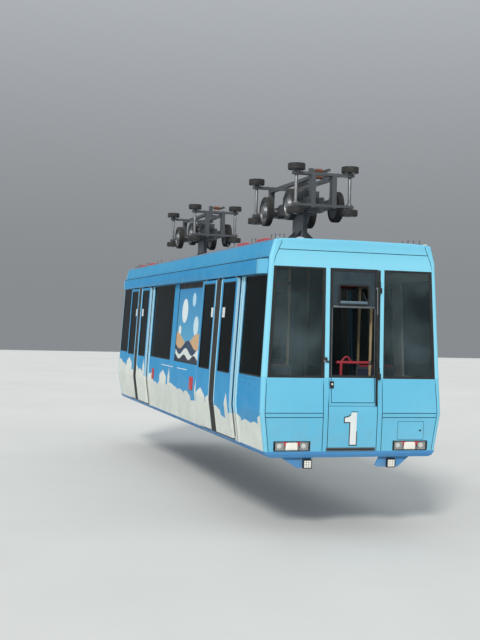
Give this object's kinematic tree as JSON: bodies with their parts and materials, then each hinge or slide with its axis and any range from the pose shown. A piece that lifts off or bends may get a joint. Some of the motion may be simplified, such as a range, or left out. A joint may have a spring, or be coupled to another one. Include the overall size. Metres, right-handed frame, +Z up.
{
  "type": "suspended monorail car",
  "caption": "Suspended monorail passenger car: a hollow blue and white cabin with sliding side doors and end doors, hung from two rubber-tyred bogies that run inside a box beam.",
  "frame": {"origin": "on the running surface under the load wheels, over the middle of the cabin", "axes": "+X towards the front end seen in the picture, +Y to the left of someone who looks forward, +Z up"},
  "size_m": [9.2, 2.364, 3.736],
  "materials": {
    "front_blue": "gloss paint, light blue",
    "body_blue": "gloss paint, mid blue, white below a jagged edge",
    "skirt_blue": "satin paint",
    "door_blue": "gloss paint with dark glass and black rubber edges",
    "tinted_glass": "dark tinted",
    "floor_covering": "speckled sheet",
    "rail_red": "powder coat",
    "seat_shell": "moulded shell with a thin fabric pad",
    "lamp": "clear ribbed lens",
    "bogie_steel": "satin dark grey paint, dusty",
    "tyre": "solid rubber tyre on a steel hub",
    "rubber_seal": "matt",
    "trim_silver": "anodised"
  },
  "bodies": {
    "cabin": {"bench_left": "seat_shell", "bench_right": "seat_shell", "door_header_left": "body_blue", "door_header_right": "body_blue", "end_wall_front": "front_blue", "end_wall_rear": "front_blue", "end_window_front_left": "tinted_glass", "end_window_front_right": "tinted_glass", "end_window_rear_left": "tinted_glass", "end_window_rear_right": "tinted_glass", "floor": "floor_covering", "handrails_left": "rail_red", "handrails_right": "rail_red", "hanger_front": "bogie_steel", "hanger_rear": "bogie_steel", "headlamps_front_left": "lamp", "headlamps_front_right": "lamp", "headlamps_rear_left": "lamp", "headlamps_rear_right": "lamp", "roof": "body_blue", "seats_left_front": "seat_shell", "seats_left_rear": "seat_shell", "seats_right_front": "seat_shell", "seats_right_rear": "seat_shell", "side_wall_left": "body_blue", "side_wall_right": "body_blue", "underframe": "skirt_blue", "window_left_aft": "tinted_glass", "window_left_fore": "tinted_glass", "window_left_mid_aft": "tinted_glass", "window_left_mid_fore": "tinted_glass", "window_right_aft": "tinted_glass", "window_right_fore": "tinted_glass", "window_right_mid_aft": "tinted_glass", "window_right_mid_fore": "tinted_glass"},
    "bogie_front": {"bogie_frame_front": "bogie_steel"},
    "axle_front_fore": {"axle_front_fore": "tyre"},
    "rollers_front_fore_right": {"rollers_front_fore_right": "tyre"},
    "rollers_front_fore_left": {"rollers_front_fore_left": "tyre"},
    "axle_front_aft": {"axle_front_aft": "tyre"},
    "rollers_front_aft_right": {"rollers_front_aft_right": "tyre"},
    "rollers_front_aft_left": {"rollers_front_aft_left": "tyre"},
    "bogie_rear": {"bogie_frame_rear": "bogie_steel"},
    "axle_rear_fore": {"axle_rear_fore": "tyre"},
    "rollers_rear_fore_right": {"rollers_rear_fore_right": "tyre"},
    "rollers_rear_fore_left": {"rollers_rear_fore_left": "tyre"},
    "axle_rear_aft": {"axle_rear_aft": "tyre"},
    "rollers_rear_aft_right": {"rollers_rear_aft_right": "tyre"},
    "rollers_rear_aft_left": {"rollers_rear_aft_left": "tyre"},
    "door_right_front_fore": {"door_right_front_fore": "door_blue"},
    "door_right_front_aft": {"door_right_front_aft": "door_blue"},
    "door_right_rear_fore": {"door_right_rear_fore": "door_blue"},
    "door_right_rear_aft": {"door_right_rear_aft": "door_blue"},
    "door_left_front_fore": {"door_left_front_fore": "door_blue"},
    "door_left_front_aft": {"door_left_front_aft": "door_blue"},
    "door_left_rear_fore": {"door_left_rear_fore": "door_blue"},
    "door_left_rear_aft": {"door_left_rear_aft": "door_blue"},
    "end_door_front": {"end_door_front": "front_blue"},
    "end_door_rear": {"end_door_rear": "front_blue"}
  },
  "joints": [
    {"name": "bogie_yaw_front", "type": "hinge", "parent": "cabin", "child": "bogie_front", "pos_m": [2.6, 0, 0.2], "axis": [0, 0, 1], "range_deg": [-8, 8]},
    {"name": "axle_spin_front_fore", "type": "hinge", "parent": "bogie_front", "child": "axle_front_fore", "pos_m": [3.1, 0, 0.2], "axis": [0, 1, 0], "continuous": true},
    {"name": "roller_spin_front_fore_right", "type": "hinge", "parent": "bogie_front", "child": "rollers_front_fore_right", "pos_m": [3.43, -0.36, 0.36], "axis": [0, 0, 1], "continuous": true},
    {"name": "roller_spin_front_fore_left", "type": "hinge", "parent": "bogie_front", "child": "rollers_front_fore_left", "pos_m": [3.43, 0.36, 0.36], "axis": [0, 0, 1], "continuous": true},
    {"name": "axle_spin_front_aft", "type": "hinge", "parent": "bogie_front", "child": "axle_front_aft", "pos_m": [2.1, 0, 0.2], "axis": [0, 1, 0], "continuous": true},
    {"name": "roller_spin_front_aft_right", "type": "hinge", "parent": "bogie_front", "child": "rollers_front_aft_right", "pos_m": [1.77, -0.36, 0.36], "axis": [0, 0, 1], "continuous": true},
    {"name": "roller_spin_front_aft_left", "type": "hinge", "parent": "bogie_front", "child": "rollers_front_aft_left", "pos_m": [1.77, 0.36, 0.36], "axis": [0, 0, 1], "continuous": true},
    {"name": "bogie_yaw_rear", "type": "hinge", "parent": "cabin", "child": "bogie_rear", "pos_m": [-2.6, 0, 0.2], "axis": [0, 0, 1], "range_deg": [-8, 8]},
    {"name": "axle_spin_rear_fore", "type": "hinge", "parent": "bogie_rear", "child": "axle_rear_fore", "pos_m": [-2.1, 0, 0.2], "axis": [0, 1, 0], "continuous": true},
    {"name": "roller_spin_rear_fore_right", "type": "hinge", "parent": "bogie_rear", "child": "rollers_rear_fore_right", "pos_m": [-1.77, -0.36, 0.36], "axis": [0, 0, 1], "continuous": true},
    {"name": "roller_spin_rear_fore_left", "type": "hinge", "parent": "bogie_rear", "child": "rollers_rear_fore_left", "pos_m": [-1.77, 0.36, 0.36], "axis": [0, 0, 1], "continuous": true},
    {"name": "axle_spin_rear_aft", "type": "hinge", "parent": "bogie_rear", "child": "axle_rear_aft", "pos_m": [-3.1, 0, 0.2], "axis": [0, 1, 0], "continuous": true},
    {"name": "roller_spin_rear_aft_right", "type": "hinge", "parent": "bogie_rear", "child": "rollers_rear_aft_right", "pos_m": [-3.43, -0.36, 0.36], "axis": [0, 0, 1], "continuous": true},
    {"name": "roller_spin_rear_aft_left", "type": "hinge", "parent": "bogie_rear", "child": "rollers_rear_aft_left", "pos_m": [-3.43, 0.36, 0.36], "axis": [0, 0, 1], "continuous": true},
    {"name": "slide_right_front_fore", "type": "slide", "parent": "cabin", "child": "door_right_front_fore", "axis": [1, 0, 0], "range_m": [0, 0.7]},
    {"name": "slide_right_front_aft", "type": "slide", "parent": "cabin", "child": "door_right_front_aft", "axis": [-1, 0, 0], "range_m": [0, 0.7]},
    {"name": "slide_right_rear_fore", "type": "slide", "parent": "cabin", "child": "door_right_rear_fore", "axis": [1, 0, 0], "range_m": [0, 0.7]},
    {"name": "slide_right_rear_aft", "type": "slide", "parent": "cabin", "child": "door_right_rear_aft", "axis": [-1, 0, 0], "range_m": [0, 0.7]},
    {"name": "slide_left_front_fore", "type": "slide", "parent": "cabin", "child": "door_left_front_fore", "axis": [1, 0, 0], "range_m": [0, 0.7]},
    {"name": "slide_left_front_aft", "type": "slide", "parent": "cabin", "child": "door_left_front_aft", "axis": [-1, 0, 0], "range_m": [0, 0.7]},
    {"name": "slide_left_rear_fore", "type": "slide", "parent": "cabin", "child": "door_left_rear_fore", "axis": [1, 0, 0], "range_m": [0, 0.7]},
    {"name": "slide_left_rear_aft", "type": "slide", "parent": "cabin", "child": "door_left_rear_aft", "axis": [-1, 0, 0], "range_m": [0, 0.7]},
    {"name": "end_door_hinge_front", "type": "hinge", "parent": "cabin", "child": "end_door_front", "pos_m": [4.56895, 0.314, -1.38], "axis": [-0.032, 0, 0.9995], "range_deg": [0, 95]},
    {"name": "end_door_hinge_rear", "type": "hinge", "parent": "cabin", "child": "end_door_rear", "pos_m": [-4.56895, -0.314, -1.38], "axis": [0.032, 0, 0.9995], "range_deg": [0, 95]}
  ],
  "couplings": [
    {"joint": "slide_right_front_aft", "follows": "slide_right_front_fore", "ratio": 1},
    {"joint": "slide_right_rear_aft", "follows": "slide_right_rear_fore", "ratio": 1},
    {"joint": "slide_left_front_aft", "follows": "slide_left_front_fore", "ratio": 1},
    {"joint": "slide_left_rear_aft", "follows": "slide_left_rear_fore", "ratio": 1}
  ]
}
